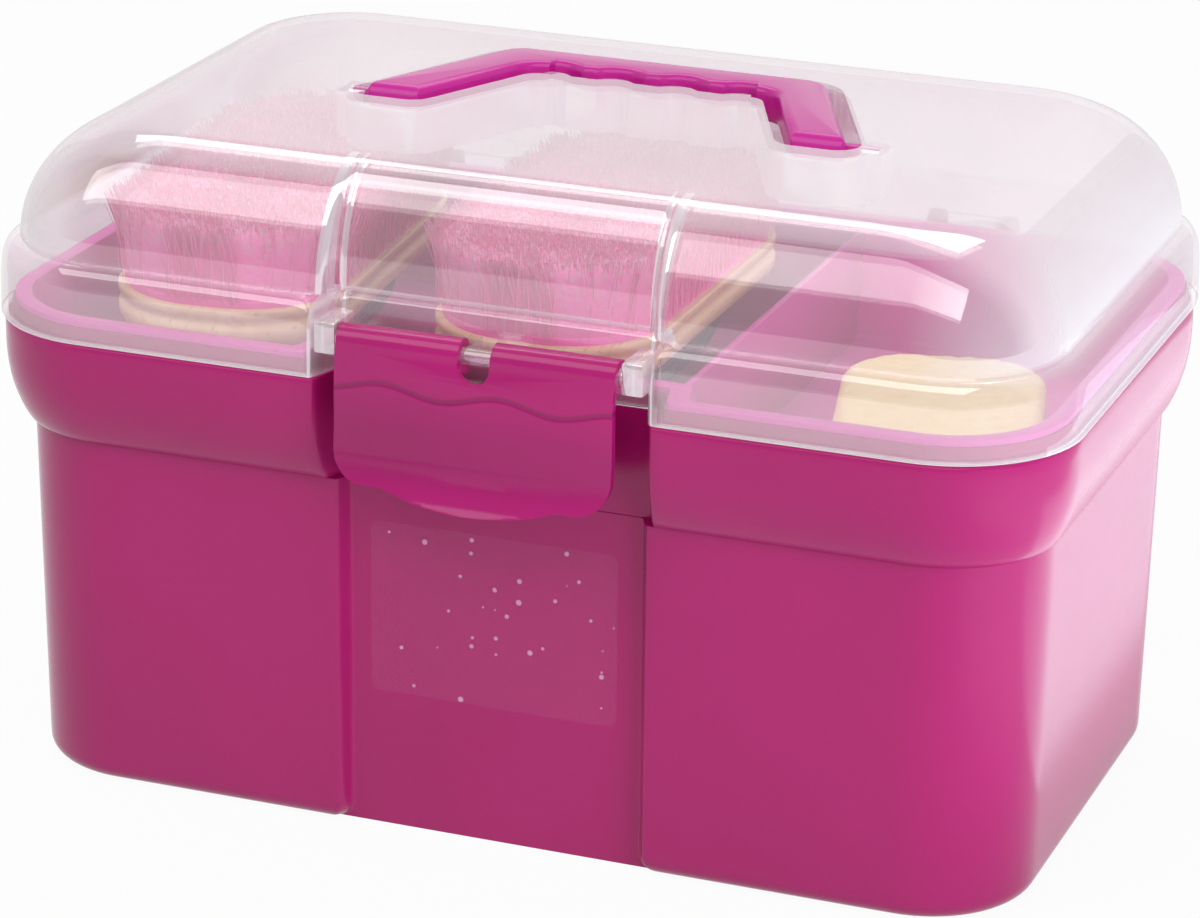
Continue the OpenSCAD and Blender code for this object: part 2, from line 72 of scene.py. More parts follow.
BAND_SWELL = (
    (0.05, 0.1), (0.3, 0.15), (1, 0.24), (2.1, 0.34), (3.4, 0.43), (5.2, 0.545), (7, 0.64), (9.1, 0.735),
    (11.2, 0.82), (13.8, 0.894), (16.5, 0.95), (19.2, 0.985), (22, 1), (25.5, 1), (28.6, 1), (29.2, 0.97),
    (29.6, 0.9),
)


def quarter(x, y, r, start, n=16):
    """A quarter turn of a rounded corner."""
    turns = [start + math.pi / 2 * i / n for i in range(n + 1)]
    return [(x + r * math.cos(a), y + r * math.sin(a)) for a in turns]


def sway(x0, x1, y0, y1, n=12):
    """The soft S-shaped step at the side of the front recess."""
    shares = [i / n for i in range(n + 1)]
    return [(x0 + (x1 - x0) * t, y0 + (y1 - y0) * (1 - math.cos(math.pi * t)) / 2) for t in shares]


def outline(z, x, front, back, r, depth, half, soft, near=2.5):
    """One level of a moulding: a rounded rectangle with the recess in its front edge."""
    plan = (
        quarter(r - x, r - front, r, math.pi)
        + [(r - x + near, -front), (-half - soft - near, -front)]
        + sway(-half - soft, -half, -front, depth - front)
        + [(near - half, depth - front), (half - near, depth - front)]
        + sway(half, half + soft, depth - front, -front)
        + [(half + soft + near, -front), (x - r - near, -front)]
        + quarter(x - r, r - front, r, math.pi * 1.5)
        + [(x, r - front + near), (x, back - r - near)]
        + quarter(x - r, back - r, r, 0)
        + [(x - r - near, back), (r - x + near, back)]
        + quarter(r - x, back - r, r, math.pi / 2)
        + [(-x, back - r - near), (-x, r - front + near)]
    )
    return [(px, py, z) for px, py in plan]


def rim(z, inset):
    """The flange's outline, moved inward."""
    x, y, r = BOX_X - inset, BOX_Y - inset, CORNER - inset
    return outline(z, x, y, y, r, RIM_RECESS, RECESS + inset, RIM_STEP)


def tub_wall(z, inset, deeper):
    """The wall below the band, where the recess is a little narrower."""
    lean = DRAFT * (1 - z / BAND_Z)
    narrow = 1.7 if z < BAND_Z else 0
    x, y = TUB_X - lean - inset, TUB_Y - lean - inset
    half, soft = RECESS - narrow + inset, TUB_STEP - 0.3 * narrow
    return outline(z, x, y, y, TUB_R - inset, LOW_RECESS + deeper, half, soft)


def tub_band(height, swell):
    """The band at a height above its foot, swelling from the wall to the rim."""
    x = TUB_X + swell * (BOX_X - 1 - TUB_X)
    y = TUB_Y + swell * (BOX_Y - 1 - TUB_Y)
    depth = y - TUB_Y + LOW_RECESS
    return outline(BAND_Z + height, x, y, y, TUB_R + 5 * swell, depth, RECESS, TUB_STEP + swell)


def deselect():
    """Leaves edit mode, with nothing selected."""
    if bpy.context.object and bpy.context.object.mode == "EDIT":
        bpy.ops.object.mode_set(mode="OBJECT")
    bpy.ops.object.select_all(action="DESELECT")


def only(piece):
    """Selects one piece alone."""
    deselect()
    piece.select_set(True)
    bpy.context.view_layer.objects.active = piece
    return piece


def moulding(name, levels):
    """A closed body drawn from level to level: a disc, extruded once for each outline."""
    deselect()
    bpy.ops.mesh.primitive_circle_add(vertices=len(levels[0]), radius=0.1, fill_type="NGON")
    piece = bpy.context.object
    piece.name = piece.data.name = name
    bpy.ops.object.mode_set(mode="EDIT")
    bpy.ops.mesh.select_all(action="SELECT")
    shape = bmesh.from_edit_mesh(piece.data)
    ring = list(next(iter(shape.faces)).verts)
    for i, level in enumerate(levels):
        if i:
            places = {tuple(v.co): k for k, v in enumerate(ring)}
            bpy.ops.mesh.extrude_region_move()
            shape = bmesh.from_edit_mesh(piece.data)
            top = next(f for f in shape.faces if f.select)
            ring = sorted(top.verts, key=lambda v: places[tuple(v.co)])
        for vertex, place in zip(ring, level):
            vertex.co = Vector(place) * MM
    bmesh.update_edit_mesh(piece.data)
    bpy.ops.mesh.select_all(action="SELECT")
    bpy.ops.mesh.normals_make_consistent(inside=False)
    bpy.ops.object.mode_set(mode="OBJECT")
    return piece


def settled(name):
    """Names the new primitive and moves its place into its mesh."""
    piece = bpy.context.object
    piece.name = piece.data.name = name
    bpy.ops.object.transform_apply(location=True, rotation=True, scale=True)
    return piece


def rounded(piece, width, segments=3, angle=40):
    """Breaks the sharp edges, as a mould does."""
    only(piece)
    bpy.ops.object.modifier_add(type="BEVEL")
    bevel = piece.modifiers[-1]
    bevel.width, bevel.segments, bevel.limit_method = width * MM, segments, "ANGLE"
    bevel.angle_limit = math.radians(angle)
    bpy.ops.object.modifier_apply(modifier=bevel.name)
    return piece


def block(name, low, high, edge=0.5):
    """A rectangular boss with broken edges."""
    deselect()
    middle = [(a + b) / 2 * MM for a, b in zip(low, high)]
    size = [(b - a) * MM for a, b in zip(low, high)]
    bpy.ops.mesh.primitive_cube_add(size=1, location=middle, scale=size)
    piece = settled(name)
    return rounded(piece, edge, 2) if edge else piece


def rod(name, x0, x1, y, z, r, edge=0.3, sides=40):
    """A round bar along X with broken ends."""
    deselect()
    middle = Vector(((x0 + x1) / 2, y, z)) * MM
    along_x = (0, math.pi / 2, 0)
    bpy.ops.mesh.primitive_cylinder_add(
        vertices=sides, radius=r * MM, depth=(x1 - x0) * MM, location=middle, rotation=along_x)
    piece = settled(name)
    return rounded(piece, edge, 2, 60) if edge else piece


def plate(name, x0, x1, profile, edge=0.4):
    """A flat web along X with the given side profile."""
    piece = moulding(name, [[(x, y, z) for y, z in profile] for x in (x0, x1)])
    return rounded(piece, edge, 2) if edge else piece


def arc(y, z, r, start, end, step):
    """Points on the round part of a side profile, by turns in degrees."""
    turns = [math.radians(a) for a in range(start, end, step)]
    return [(y + r * math.cos(a), z + r * math.sin(a)) for a in turns]


def both_sides(inner, outer):
    """The reach in X of a feature that is on the left and on the right."""
    return (-outer, -inner), (inner, outer)


def combine(piece, tool, way):
    """Joins a tool body to a piece or cuts it out of it."""
    only(piece)
    bpy.ops.object.modifier_add(type="BOOLEAN")
    cut = piece.modifiers[-1]
    cut.operation, cut.object, cut.solver = way, tool, "EXACT"
    bpy.ops.object.modifier_apply(modifier=cut.name)
    bpy.data.objects.remove(tool)
    return piece


def weld_on(piece, *parts):
    """Parts that are moulded with a piece become one mesh with it."""
    only(piece)
    for part in parts:
        part.select_set(True)
    bpy.ops.object.join()
    return piece


def smooth(piece, angle=38):
    """Shades a piece smooth, except across its sharp edges."""
    only(piece)
    bpy.ops.object.shade_smooth_by_angle(angle=math.radians(angle))
    return piece


def add(tree, kind, links=None, **settings):
    """A shader node with its settings, and its inputs set or linked by name or number."""
    node = tree.nodes.new("ShaderNode" + kind)
    for name, value in settings.items():
        setattr(node, name, value)
    for name, value in (links or {}).items():
        if isinstance(value, bpy.types.NodeSocket):
            tree.links.new(value, node.inputs[name])
        else:
            node.inputs[name].default_value = value
    return node


def new_finish(name, roughness):
    """A material with its shader and the coordinates that its patterns hang on."""
    finish = bpy.data.materials.new(name)
    finish.use_nodes = True
    tree = finish.node_tree
    shader = tree.nodes["Principled BSDF"]
    shader.inputs["Roughness"].default_value = roughness
    return finish, tree, shader, add(tree, "TexCoord").outputs["Object"]


def ramp(tree, factor, *stops):
    """Colours or greys along a factor."""
    node = add(tree, "ValToRGB", {"Fac": factor})
    bar = node.color_ramp.elements
    while len(bar) < len(stops):
        bar.new(0.5)
    for element, (place, colour) in zip(bar, stops):
        element.position = place
        element.color = (*colour, 1) if isinstance(colour, tuple) else (colour, colour, colour, 1)
    return node.outputs["Color"]


def noise(tree, place, scale, detail, roughness=0.5, distortion=0.0):
    """A soft random pattern."""
    kind = {"Scale": scale, "Detail": detail, "Roughness": roughness, "Distortion": distortion}
    return add(tree, "TexNoise", {"Vector": place, **kind}).outputs["Fac"]


def stretched(tree, place, scale, turn=(0, 0, 0)):
    """Coordinates that draw a pattern out in one direction."""
    return add(tree, "Mapping", {"Vector": place, "Scale": scale, "Rotation": turn}).outputs["Vector"]


def raised(tree, shader, height, strength, distance):
    """Bumps a finish by a pattern, over any bump that it already has."""
    bump = add(tree, "Bump", {"Height": height, "Strength": strength, "Distance": distance})
    below = shader.inputs["Normal"].links
    if below:
        tree.links.new(below[0].from_socket, bump.inputs["Normal"])
    tree.links.new(bump.outputs["Normal"], shader.inputs["Normal"])


def polypropylene(name, colour, shine):
    """Coloured polypropylene: slight flow clouds, a faint orange peel and hair-fine scuffs."""
    finish, tree, shader, place = new_finish(name, shine)
    dark, light = (tuple(c * k for c in colour) for k in (0.93, 1.06))
    clouds = noise(tree, place, 11, 4, 0.55)
    tree.links.new(ramp(tree, clouds, (0.3, dark), (0.7, light)), shader.inputs["Base Color"])
    scuffs = noise(tree, stretched(tree, place, (60, 60, 420), (0.4, 0.7, 0.3)), 1.3, 5, 0.7)
    wear = ramp(tree, scuffs, (0.45, shine), (0.8, shine + 0.05))
    tree.links.new(wear, shader.inputs["Roughness"])
    raised(tree, shader, noise(tree, place, 180, 2), 0.03, 0.0003)
    shader.inputs["IOR"].default_value = 1.49
    shader.inputs["Specular IOR Level"].default_value = 0.42
    return finish


def install(piece, body, slot, finish, *nodes):
    """Gives a finished piece its material, the body that it moves with and the solids it stands for."""
    piece.data.materials.clear()
    piece.data.materials.append(finish)
    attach(piece, body)
    if nodes:
        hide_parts(*nodes)
    return piece


fine_turns = [math.radians(a) for a in range(90, -1, -10)]
coarse_turns = [math.radians(a) for a in range(0, 91, 15)]
foot = [
    tub_wall(FOOT_R * (1 - math.sin(a)), FOOT_R * (1 - math.cos(a)), LOW_RECESS * (math.cos(a) - 1))
    for a in fine_turns
]
wall = [tub_wall(z, 0, 0) for z in (8, 50, 90, 97, BAND_Z - 0.3)] + [tub_wall(BAND_Z - 0.1, -0.25, 0)]
band = [tub_band(height, swell) for height, swell in BAND_SWELL]
lip = [rim(z, inset) for z, inset in (
    (RIM_Z, 2.9), (RIM_Z + 0.1, 3), (LIP_Z - 0.6, 3), (LIP_Z - 0.2, 3.15), (LIP_Z, 3.6), (LIP_Z, 4.5),
    (LIP_Z - 0.2, 4.95), (LIP_Z - 0.6, 5.1), (BAND_Z + 13, 5.1),
)]
inner_wall = [tub_wall(z, inset, deeper) for z, inset, deeper in (
    (BAND_Z + 6.5, -0.4, 2.6), (BAND_Z + 1.5, 1.8, 0.4), (BAND_Z - 2, WALL_T, 0),
)]
inner_floor = [
    tub_wall(FLOOR_T + FLOOR_R * (1 - math.sin(a)), WALL_T + FLOOR_R * (1 - math.cos(a)), 0)
    for a in coarse_turns
]
tub = moulding("tub_shell", foot + wall + band + lip + inner_wall + inner_floor)

HINGE_X, HINGE_Y, HINGE_Z, HINGE_PIN_R, PLAY = 75.0, 97.6, 131.0, 2.0, 0.06
EAR_R, EAR_T, EAR_GAP = 4.4, 4.0, 8.6
ear = arc(HINGE_Y, HINGE_Z, EAR_R, -12, 181, 8)
ear += [(93, HINGE_Z), (93, RIM_Z - 0.3), (89.6, RIM_Z - 0.3), (89.6, RIM_Z - 16), (93.5, RIM_Z - 12)]
for inner in (HINGE_X - EAR_GAP - EAR_T, HINGE_X + EAR_GAP):
    for x0, x1 in both_sides(inner, inner + EAR_T):
        web = plate("ear", x0, x1, ear)
        bore = rod("bore", x0 - 1, x1 + 1, HINGE_Y, HINGE_Z, HINGE_PIN_R + PLAY, 0)
        weld_on(tub, combine(web, bore, "DIFFERENCE"))
CATCH_X, CATCH_ROOT, CATCH_FRONT, CATCH_Z, CATCH_T = 28.0, -77.4, -89.5, 116.2, 3.4
GUSSET_X, GUSSET_T, GUSSET_FRONT = 20.0, 2.4, CATCH_FRONT + 1.5
GUSSET_LOW, GUSSET_TOP = CATCH_Z - 11.6, CATCH_Z + 2.4
catch = block("catch", (-CATCH_X, CATCH_FRONT, CATCH_Z), (CATCH_X, CATCH_ROOT, CATCH_Z + CATCH_T), 0.6)
brace = [(CATCH_ROOT, GUSSET_LOW), (GUSSET_FRONT, CATCH_Z)]
brace += [(GUSSET_FRONT, GUSSET_TOP), (CATCH_ROOT, GUSSET_TOP)]
gussets = [plate("gusset", x, x + GUSSET_T, brace) for x in (-GUSSET_X, GUSSET_X - GUSSET_T)]
weld_on(tub, catch, *gussets)
smooth(tub)
MAGENTA = (0.40, 0.006, 0.135)
install(tub, "tub", "tub_plastic", polypropylene("tub_polypropylene", MAGENTA, 0.2), "tub")


# Tray: a shallow tray moulded in satin magenta polypropylene. Its rim hangs on the tub's lip, its
# walls lean in, and one upright divider parts the brushes from the sponge.
TRAY_PROFILE = (
    (98, 15), (98.15, 14), (98.9, 13), (99.8, 12.5), (101, 12), (131.6, 6.7), (133, 6.5), (133, 3.7),
    (134.2, 3.7), (134.48, 3.82), (134.6, 4.1), (134.6, 7.8), (134.45, 8.2), (134, 8.4), (102, 13.8),
    (101, 14.2), (100.4, 15), (100.1, 15.6), (100, 16.2),
)
# The tray is the tub's magenta plastic; its brighter colour is painted light that falls in through the lid.
TRAY_PINK_PAINTED_LIGHT = (0.72, 0.05, 0.41)
DIVIDER_X, DIVIDER_T, DIVIDER_FOOT, DIVIDER_TOP = 45.4, 2.0, 99.2, 131.0
tray = moulding("tray_body", [rim(z, inset) for z, inset in TRAY_PROFILE])
web = [(-66.8, DIVIDER_FOOT), (78.8, DIVIDER_FOOT), (84.3, DIVIDER_TOP), (-72.3, DIVIDER_TOP)]
weld_on(tray, plate("divider", DIVIDER_X, DIVIDER_X + DIVIDER_T, web, 0.5))
smooth(tray)
install(tray, "tub", "tray_plastic", polypropylene("tray_polypropylene", TRAY_PINK_PAINTED_LIGHT, 0.3), "tray")


# Brushes: two body brushes that lie on their straps with the bristles up. Each has a lacquered beech
# back with a finger groove along its side, a webbing hand strap bowed under it, and pink nylon
# bristles set in tufts.
BRUSHES = {"a": (-93.0, -4.0, 5.0), "b": (0.5, 2.0, 0.0)}
BRUSH_X, BRUSH_Y, BRUSH_R, EDGE_W, EDGE_H = 32.0, 69.0, 28.0, 6.0, 4.8
BACK_Z, TUFT_Z, TRAY_FLOOR = 125.0, 137.0, 100.0
GROOVE_Z, GROOVE_H, GROOVE_DEEP = 131.0, 4.1, 1.2


def oval(z, x, y, r):
    """One level of a block with round corners."""
    plan = (quarter(r - x, r - y, r, math.pi) + quarter(x - r, r - y, r, math.pi * 1.5)
            + quarter(x - r, y - r, r, 0) + quarter(r - x, y - r, r, math.pi / 2))
    return [(px, py, z) for px, py in plan]


def brush_level(z, inset):
    """One level of a brush, moved inward."""
    return oval(z, BRUSH_X - inset, BRUSH_Y - inset, BRUSH_R - inset)


def moved(name, piece, x, y, turn):
    """A copy with its own mesh at its place in the tray."""
    only(piece)
    bpy.ops.object.duplicate()
    twin = bpy.context.object
    twin.name = twin.data.name = name
    twin.location, twin.rotation_euler = (x * MM, y * MM, 0), (0, 0, math.radians(turn))
    bpy.ops.object.transform_apply(location=True, rotation=True, scale=False)
    return twin


def maths(tree, operation, *values):
    """The result of one sum on numbers or sockets."""
    return add(tree, "Math", dict(enumerate(values)), operation=operation).outputs["Value"]


def remap(tree, value, start, end, first=0.0, last=1.0, **settings):
    """A value's stretch from start to end, spread from first to last."""
    reach = {"From Min": start, "From Max": end, "To Min": first, "To Max": last}
    return add(tree, "MapRange", {"Value": value, **reach}, **settings).outputs["Result"]


wood_profile = [(BACK_Z + EDGE_H * (1 - math.sin(a)), EDGE_W * (1 - math.cos(a))) for a in fine_turns]
wood_profile += [
    (GROOVE_Z + GROOVE_H * t, GROOVE_DEEP * math.sin(math.pi * t) ** 1.3)
    for t in np.linspace(0, 1, 9)
]
wood_profile += [(TUFT_Z - 0.8, 0), (TUFT_Z - 0.4, 0.1), (TUFT_Z - 0.15, 0.3), (TUFT_Z, 0.6)]
wood = moulding("wood", [brush_level(z, inset) for z, inset in wood_profile])
smooth(wood, 50)
beech, tree, shader, place = new_finish("lacquered_beech", 0.38)
grain = noise(tree, stretched(tree, place, (60, 4, 60)), 2.2, 6, 0.6, 0.4)
flecks = noise(tree, stretched(tree, place, (900, 120, 900)), 1.0, 2)
tone = ramp(tree, grain, (0.3, (0.78, 0.48, 0.24)), (0.5, (0.90, 0.62, 0.35)), (0.72, (0.95, 0.73, 0.47)))
speck = ramp(tree, flecks, (0.6, 0.0), (0.74, 0.55))
mixed = add(tree, "Mix", {"Factor": speck, "A": tone, "B": (0.40, 0.20, 0.09, 1)}, data_type="RGBA")
tree.links.new(mixed.outputs["Result"], shader.inputs["Base Color"])
raised(tree, shader, grain, 0.12, 0.0005)
shader.inputs["Coat Weight"].default_value = 0.35
shader.inputs["Coat Roughness"].default_value = 0.2

STRAP_R, STRAP_T, STRAP_HALF = 24.505, 2.0, 24.0
sweep = math.acos(1 - (BACK_Z - TRAY_FLOOR) / STRAP_R)
inner_sweep = sweep * 0.985


def strap_arc(r, start, end):
    """Points along the strap's bow, which touches the tray's floor in its middle."""
    return [(r * math.sin(a), TRAY_FLOOR + STRAP_R - r * math.cos(a)) for a in np.linspace(start, end, 41)]


bow = strap_arc(STRAP_R, -sweep, sweep) + strap_arc(STRAP_R - STRAP_T, inner_sweep, -inner_sweep)
strap_steps = np.linspace(-STRAP_HALF, STRAP_HALF, 13)
strap = moulding("strap", [[(x, y, min(z, BACK_Z)) for x, z in bow] for y in strap_steps])
rounded(strap, 0.7, 3, 60)
smooth(strap, 50)
webbing, tree, shader, place = new_finish("strap_webbing", 0.8)
thread = {"Vector": place, "Distortion": 0.6, "Detail": 1}
warp = add(tree, "TexWave", {**thread, "Scale": 170}, wave_type="BANDS", bands_direction="Y")
weft = add(tree, "TexWave", {**thread, "Scale": 210}, wave_type="BANDS", bands_direction="X")
weave = maths(tree, "MULTIPLY", warp.outputs["Fac"], weft.outputs["Fac"])
tone = ramp(tree, weave, (0.0, (0.10, 0.008, 0.05)), (0.8, (0.34, 0.04, 0.18)))
tree.links.new(tone, shader.inputs["Base Color"])
raised(tree, shader, weave, 0.7, 0.0006)
shader.inputs["Sheen Weight"].default_value = 0.3

HAIRS, HAIR_L, GOLDEN_TURN = 32, 21.8, 2.399963
TUFT_R, TUFT_H, TUFT_PITCH, ACROSS, ALONG = 2.3, 22.8, 4.1, 15, 33
TUFT_MARGIN, SPLAY, SPLAY_X, SPLAY_Y = 2.8, 3.2, 28.0, 65.0
deselect()
bristles = []
for i in range(HAIRS):
    a, reach = i * GOLDEN_TURN, TUFT_R * math.sqrt(i / HAIRS)
    height = TUFT_Z + 12 + 0.35 * math.sin(i * 5.1)
    middle = Vector((reach * math.cos(a), reach * math.sin(a), height)) * MM
    lean = (0.05 * math.sin(a) * reach, -0.05 * math.cos(a) * reach, i)
    bpy.ops.mesh.primitive_cone_add(
        vertices=3, radius1=0.15 * MM, radius2=0.1 * MM, depth=HAIR_L * MM, end_fill_type="NOTHING",
        location=middle, rotation=lean)
    bristles.append(bpy.context.object)
    bpy.ops.object.mode_set(mode="EDIT")
    bpy.ops.mesh.select_all(action="SELECT")
    bpy.ops.mesh.bisect(plane_co=middle, plane_no=(0, 0, 1))
    bpy.ops.object.mode_set(mode="OBJECT")
tuft = weld_on(*bristles)
settled("bristle_field")
per_tuft = len(tuft.data.vertices)
for count, step in ((ACROSS, (TUFT_PITCH, 0, 0)), (ALONG, (0, TUFT_PITCH, 0))):
    bpy.ops.object.modifier_add(type="ARRAY")
    rows = tuft.modifiers[-1]
    rows.count, rows.use_relative_offset, rows.use_constant_offset = count, False, True
    rows.constant_offset_displace = Vector(step) * MM
    bpy.ops.object.modifier_apply(modifier=rows.name)
chance = np.random.default_rng(11)
co = np.zeros(len(tuft.data.vertices) * 3, np.float32)
tuft.data.vertices.foreach_get("co", co)
co = co.reshape(ALONG * ACROSS, per_tuft, 3)
co[:, :, 0] -= (ACROSS - 1) * TUFT_PITCH / 2 * MM
co[:, :, 1] -= (ALONG - 1) * TUFT_PITCH / 2 * MM
on_back = np.zeros(len(co), bool)
for k, group in enumerate(co):
    cx = (k % ACROSS - (ACROSS - 1) / 2) * TUFT_PITCH
    cy = (k // ACROSS - (ALONG - 1) / 2) * TUFT_PITCH
    past_x, past_y = abs(cx) - BRUSH_X + BRUSH_R, abs(cy) - BRUSH_Y + BRUSH_R
    on_back[k] = math.hypot(max(0, past_x), max(0, past_y)) < BRUSH_R - TUFT_MARGIN
    centre = np.array([cx, cy]) * MM
    spin, lean = chance.uniform(0, 6.28), chance.normal(0, 0.02, 2)
    shift = chance.normal(0, 0.00012, 2)
    c, s = math.cos(spin), math.sin(spin)
    high = np.maximum(group[:, 2] - TUFT_Z * MM, 0)
    rise = high[:, None] / (TUFT_H * MM)
    flat = (group[:, :2] - centre) @ np.array([[c, s], [-s, c]]) * (1 + rise * 0.35)
    splay = np.array([cx / SPLAY_X, cy / SPLAY_Y]) ** 3 * SPLAY * MM
    group[:, :2] = centre + shift + flat + high[:, None] * lean + rise ** 2 * splay
    group[:, 2] = TUFT_Z * MM + high * chance.uniform(0.955, 1.0)
tuft.data.vertices.foreach_set("co", co.astype(np.float32).ravel())
only(tuft)
bpy.ops.object.mode_set(mode="EDIT")
bpy.ops.mesh.select_all(action="DESELECT")
bpy.ops.object.mode_set(mode="OBJECT")
tuft.data.vertices.foreach_set("select", np.repeat(~on_back, per_tuft))
bpy.ops.object.mode_set(mode="EDIT")
bpy.ops.mesh.select_mode(type="VERT")
bpy.ops.mesh.delete(type="VERT")
bpy.ops.object.mode_set(mode="OBJECT")
bed_profile = ((0, 2), (1.4, 2), (1.8, 2.2), (2, 2.6))
heart_profile = ((1.6, 2.6), (7, 2), (13, 1.2), (18, 0.7), (20, 1), (21, 2.2), (21.5, 4.5))
bed = moulding("bed", [brush_level(TUFT_Z + rise, inset) for rise, inset in bed_profile])
heart = moulding("heart", [brush_level(TUFT_Z + rise, inset) for rise, inset in heart_profile])
weld_on(tuft, bed, heart)
smooth(tuft, 60)
nylon, tree, shader, place = new_finish("pink_nylon", 0.35)
height = add(tree, "SeparateXYZ", {"Vector": place}).outputs["Z"]
shade = noise(tree, place, 520, 2)
lift = maths(tree, "MULTIPLY", remap(tree, height, 0.138, 0.160), shade)
pinks = (0.0, (0.98, 0.10, 0.50)), (0.3, (0.90, 0.19, 0.47)), (0.65, (0.72, 0.35, 0.45))
tree.links.new(ramp(tree, lift, *pinks), shader.inputs["Base Color"])
raised(tree, shader, shade, 0.5, 0.0008)
shader.inputs["Sheen Weight"].default_value = 0.35

for letter, spot in BRUSHES.items():
    brush = f"brush_{letter}_"
    install(moved(brush + "wood", wood, *spot), "tub", "brush_wood", beech, brush + "back")
    install(moved(brush + "webbing", strap, *spot), "tub", "strap_webbing", webbing, brush + "strap")
    install(moved(brush + "tufts", tuft, *spot), "tub", "bristle", nylon, brush + "bristles")
for pattern in (wood, strap, tuft):
    bpy.data.objects.remove(pattern)


# Sponge: a block of yellow open-celled foam, cut with round corners and softened edges and full of
# small pores. It lies loose in the tray's right compartment.
SPONGE_X, SPONGE_Y, SPONGE_R, SPONGE_EDGE = 27.0, 38.0, 19.0, 3.4
SPONGE_LOW, SPONGE_TOP = 100.1, 126.6
SPONGE_PLACE = (106.2, -36.0, 14.0)


def sponge_level(z, inset):
    """One level of the sponge, moved inward."""
    return oval(z, SPONGE_X - inset, SPONGE_Y - inset, SPONGE_R - inset)


edge = [(SPONGE_EDGE * (1 - math.sin(a)), SPONGE_EDGE * (1 - math.cos(a))) for a in fine_turns]
sponge_levels = [sponge_level(SPONGE_LOW + rise, inset) for rise, inset in edge]
sponge_levels += [sponge_level(SPONGE_TOP - rise, inset) for rise, inset in reversed(edge)]
block_of_foam = moulding("block_of_foam", sponge_levels)
sponge = moved("sponge_foam", block_of_foam, *SPONGE_PLACE)
bpy.data.objects.remove(block_of_foam)
only(sponge)
bpy.ops.object.modifier_add(type="REMESH")
sponge.modifiers[-1].mode, sponge.modifiers[-1].voxel_size = "VOXEL", 0.0008
bpy.ops.object.modifier_apply(modifier=sponge.modifiers[-1].name)
pores = bpy.data.textures.new("pores", "VORONOI")
pores.noise_scale, pores.noise_intensity = 0.0030, 1.3
bpy.ops.object.modifier_add(type="DISPLACE")
dents = sponge.modifiers[-1]
dents.texture, dents.texture_coords, dents.strength, dents.mid_level = pores, "LOCAL", 0.0004, 0.9
bpy.ops.object.modifier_apply(modifier=dents.name)
smooth(sponge, 70)
foam, tree, shader, place = new_finish("yellow_foam", 0.95)
cells = add(tree, "TexVoronoi", {"Vector": place, "Scale": 420}).outputs["Distance"]
large = add(tree, "TexVoronoi", {"Vector": place, "Scale": 170}).outputs["Distance"]
pore_dents_and_shade = maths(tree, "MULTIPLY", cells, large)
# Painted shade: the pores' dents are coloured a darker yellow.
yellows = (0.0, (0.94, 0.68, 0.27)), (0.08, (0.99, 0.76, 0.35)), (0.3, (1.0, 0.81, 0.41))
tree.links.new(ramp(tree, pore_dents_and_shade, *yellows), shader.inputs["Base Color"])
raised(tree, shader, pore_dents_and_shade, 0.3, 0.0006)
shader.inputs["Sheen Weight"].default_value = 0.25
install(sponge, "tub", "sponge_foam", foam, "sponge")


# Lid: a clear, slightly milky polypropylene moulding. Over a flange it domes up to a flat top with a
# crease along the front, and the handle's trench, the pin blocks, the clasp's rod and the hinge
# knuckles are moulded with it.
LID_Z, DOME_Z, TOP_Z, LID_T = 129.0, 150.2, 182.0, 1.8
DOME_H, SHOULDER, FRONT_LEAN = 31.8, 5.5, 20.0
DOME_ENDS, DOME_BACK, DOME_CORNER, DOME_RECESS = 30.0, 17.0, 8.0, 6.4
FRONT_R = (DOME_H ** 2 + FRONT_LEAN ** 2) / (2 * FRONT_LEAN)
CREASE_R = 12.0
CREASE_Y = FRONT_R - math.sqrt((FRONT_R - CREASE_R) ** 2 - (DOME_H - CREASE_R) ** 2)
CREASE_Z = FRONT_R * (DOME_H - CREASE_R) / (FRONT_R - CREASE_R)


def dome(turn, inset):
    """The dome at a turn from upright, 0, to flat, 90 degrees."""
    t = math.sin(math.radians(turn))
    round_over = 1 - math.cos(math.radians(turn))
    lean = FRONT_R - math.sqrt(FRONT_R ** 2 - (t * DOME_H) ** 2)
    if t * DOME_H > CREASE_Z:
        lean = CREASE_Y - math.sqrt(max(0, CREASE_R ** 2 - (t * DOME_H - DOME_H + CREASE_R) ** 2))
    foot_x, foot_y = BOX_X - SHOULDER - inset, BOX_Y - SHOULDER - inset
    r = CORNER - SHOULDER - inset - DOME_CORNER * t * t
    x, front, back = foot_x - DOME_ENDS * round_over, foot_y - lean, foot_y - DOME_BACK * round_over
    z = DOME_Z + t * (DOME_H - inset)
    return outline(z, x, front, back, r, DOME_RECESS * (1 - t * t), RECESS + inset, RIM_STEP)


def meet(a, b):
    """The crossing of two lines, each given by its normal and its distance."""
    (ax, ay), ac = a
    (bx, by), bc = b
    q = ax * by - ay * bx
    return (ac * by - bc * ay) / q, (ax * bc - bx * ac) / q


HANDLE_END, HANDLE_GRIP, HANDLE_FRONT, HANDLE_BACK = 69.5, 46.0, -6.6, 47.5
LEG, GRIP, FINGER_PITCH, FINGER_R, FINGER_DEEP = 14.5, 14.0, 18.4, 11.0, 2.6
TOE_R, BEND_R = 2.5, 9.0
PIVOT_Y, PIVOT_Z, PIVOT_R = 2.0, 178.0, 2.5


def grip_edge(x, grow):
    """The grip's front edge at x, in the hollow of one of four fingers or between two."""
    edge = HANDLE_BACK - GRIP
    r = FINGER_R - grow
    past = [x - k * FINGER_PITCH for k in (-1.5, -0.5, 0.5, 1.5)]
    hollows = [edge - FINGER_R + FINGER_DEEP + math.sqrt(r ** 2 - d ** 2) for d in past if abs(d) < r]
    return max([edge - grow] + hollows)


